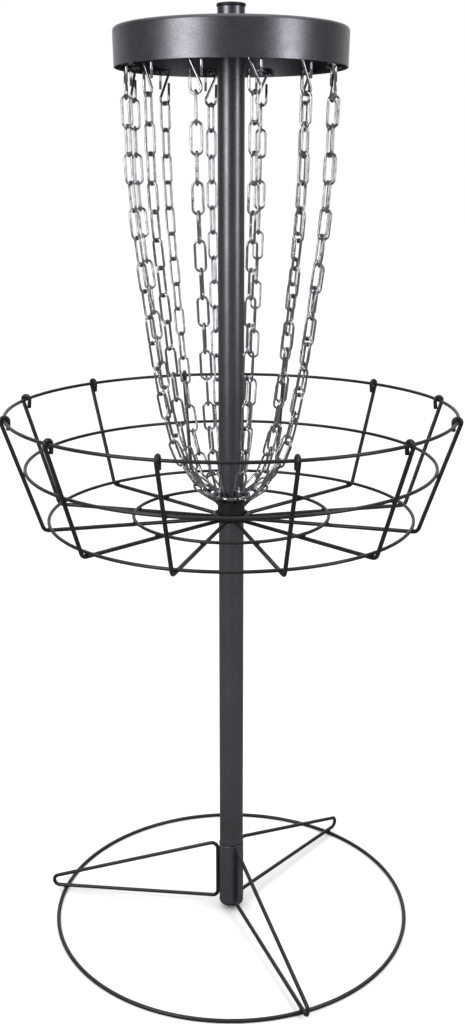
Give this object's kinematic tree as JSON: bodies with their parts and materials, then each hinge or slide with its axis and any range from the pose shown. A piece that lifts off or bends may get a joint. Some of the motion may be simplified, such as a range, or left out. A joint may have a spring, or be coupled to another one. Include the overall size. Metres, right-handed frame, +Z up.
{
  "type": "disc golf basket",
  "caption": "Disc golf basket: a wire-legged stand, a two-piece pole, a wire catching tray, and a steel pan whose hanging chains meet at a ring round the pole.",
  "frame": {"origin": "on the floor, on the pole's axis, at the centre of the base ring's underside", "axes": "+Z up along the pole, -Y towards the front of the basket, +X to its right seen from the front"},
  "size_m": [0.6658, 0.6658, 1.396],
  "materials": {
    "powder_coat": "satin graphite powder coat",
    "coated_wire": "satin charcoal coating",
    "zinc_plate": "bright zinc plating",
    "black_plastic": "fine matte"
  },
  "bodies": {
    "stand": {"base_ring": "coated_wire", "leg_1": "coated_wire", "leg_2": "coated_wire", "leg_3": "coated_wire", "base_tube": "powder_coat", "base_plug": "black_plastic"},
    "lower_mast": {"lower_pole": "powder_coat", "tray_hub": "powder_coat", "tray_rim": "coated_wire", "tray_mid_ring": "coated_wire", "tray_floor_ring": "coated_wire", "tray_inner_ring": "coated_wire", "tray_hub_ring": "coated_wire", "rib_1": "coated_wire", "rib_2": "coated_wire", "rib_3": "coated_wire", "rib_4": "coated_wire", "rib_5": "coated_wire", "rib_6": "coated_wire", "rib_7": "coated_wire", "rib_8": "coated_wire", "rib_9": "coated_wire", "rib_10": "coated_wire", "rib_11": "coated_wire", "rib_12": "coated_wire"},
    "upper_mast": {"upper_pole": "powder_coat", "pole_cap": "black_plastic", "top_pan": "powder_coat", "pan_collar": "powder_coat", "chain_ring": "zinc_plate"},
    "strand_1": {"s_hook_1": "zinc_plate", "chain_1": "zinc_plate"},
    "strand_2": {"s_hook_2": "zinc_plate", "chain_2": "zinc_plate"},
    "strand_3": {"s_hook_3": "zinc_plate", "chain_3": "zinc_plate"},
    "strand_4": {"s_hook_4": "zinc_plate", "chain_4": "zinc_plate"},
    "strand_5": {"s_hook_5": "zinc_plate", "chain_5": "zinc_plate"},
    "strand_6": {"s_hook_6": "zinc_plate", "chain_6": "zinc_plate"},
    "strand_7": {"s_hook_7": "zinc_plate", "chain_7": "zinc_plate"},
    "strand_8": {"s_hook_8": "zinc_plate", "chain_8": "zinc_plate"},
    "strand_9": {"s_hook_9": "zinc_plate", "chain_9": "zinc_plate"},
    "strand_10": {"s_hook_10": "zinc_plate", "chain_10": "zinc_plate"},
    "strand_11": {"s_hook_11": "zinc_plate", "chain_11": "zinc_plate"},
    "strand_12": {"s_hook_12": "zinc_plate", "chain_12": "zinc_plate"}
  },
  "joints": [
    {"name": "pole_lift", "type": "slide", "parent": "stand", "child": "lower_mast", "axis": [0, 0, 1], "range_m": [0, 0.095]},
    {"name": "mast_lift", "type": "slide", "parent": "lower_mast", "child": "upper_mast", "axis": [0, 0, 1], "range_m": [0, 0.1]},
    {"name": "chain_swing_1", "type": "hinge", "parent": "upper_mast", "child": "strand_1", "pos_m": [-0.04481, -0.1379, 1.3218], "axis": [-0.06, -0.1847, 0.981], "range_deg": [-15, 15]},
    {"name": "chain_swing_2", "type": "hinge", "parent": "upper_mast", "child": "strand_2", "pos_m": [0.03015, -0.14183, 1.3218], "axis": [0.0404, -0.19, 0.981], "range_deg": [-15, 15]},
    {"name": "chain_swing_3", "type": "hinge", "parent": "upper_mast", "child": "strand_3", "pos_m": [0.09702, -0.10776, 1.3218], "axis": [0.13, -0.1443, 0.981], "range_deg": [-15, 15]},
    {"name": "chain_swing_4", "type": "hinge", "parent": "upper_mast", "child": "strand_4", "pos_m": [0.1379, -0.04481, 1.3218], "axis": [0.1847, -0.06, 0.981], "range_deg": [-15, 15]},
    {"name": "chain_swing_5", "type": "hinge", "parent": "upper_mast", "child": "strand_5", "pos_m": [0.14183, 0.03015, 1.3218], "axis": [0.19, 0.0404, 0.981], "range_deg": [-15, 15]},
    {"name": "chain_swing_6", "type": "hinge", "parent": "upper_mast", "child": "strand_6", "pos_m": [0.10776, 0.09702, 1.3218], "axis": [0.1443, 0.13, 0.981], "range_deg": [-15, 15]},
    {"name": "chain_swing_7", "type": "hinge", "parent": "upper_mast", "child": "strand_7", "pos_m": [0.04481, 0.1379, 1.3218], "axis": [0.06, 0.1847, 0.981], "range_deg": [-15, 15]},
    {"name": "chain_swing_8", "type": "hinge", "parent": "upper_mast", "child": "strand_8", "pos_m": [-0.03015, 0.14183, 1.3218], "axis": [-0.0404, 0.19, 0.981], "range_deg": [-15, 15]},
    {"name": "chain_swing_9", "type": "hinge", "parent": "upper_mast", "child": "strand_9", "pos_m": [-0.09702, 0.10776, 1.3218], "axis": [-0.13, 0.1443, 0.981], "range_deg": [-15, 15]},
    {"name": "chain_swing_10", "type": "hinge", "parent": "upper_mast", "child": "strand_10", "pos_m": [-0.1379, 0.04481, 1.3218], "axis": [-0.1847, 0.06, 0.981], "range_deg": [-15, 15]},
    {"name": "chain_swing_11", "type": "hinge", "parent": "upper_mast", "child": "strand_11", "pos_m": [-0.14183, -0.03015, 1.3218], "axis": [-0.19, -0.0404, 0.981], "range_deg": [-15, 15]},
    {"name": "chain_swing_12", "type": "hinge", "parent": "upper_mast", "child": "strand_12", "pos_m": [-0.10776, -0.09702, 1.3218], "axis": [-0.1443, -0.13, 0.981], "range_deg": [-15, 15]}
  ]
}
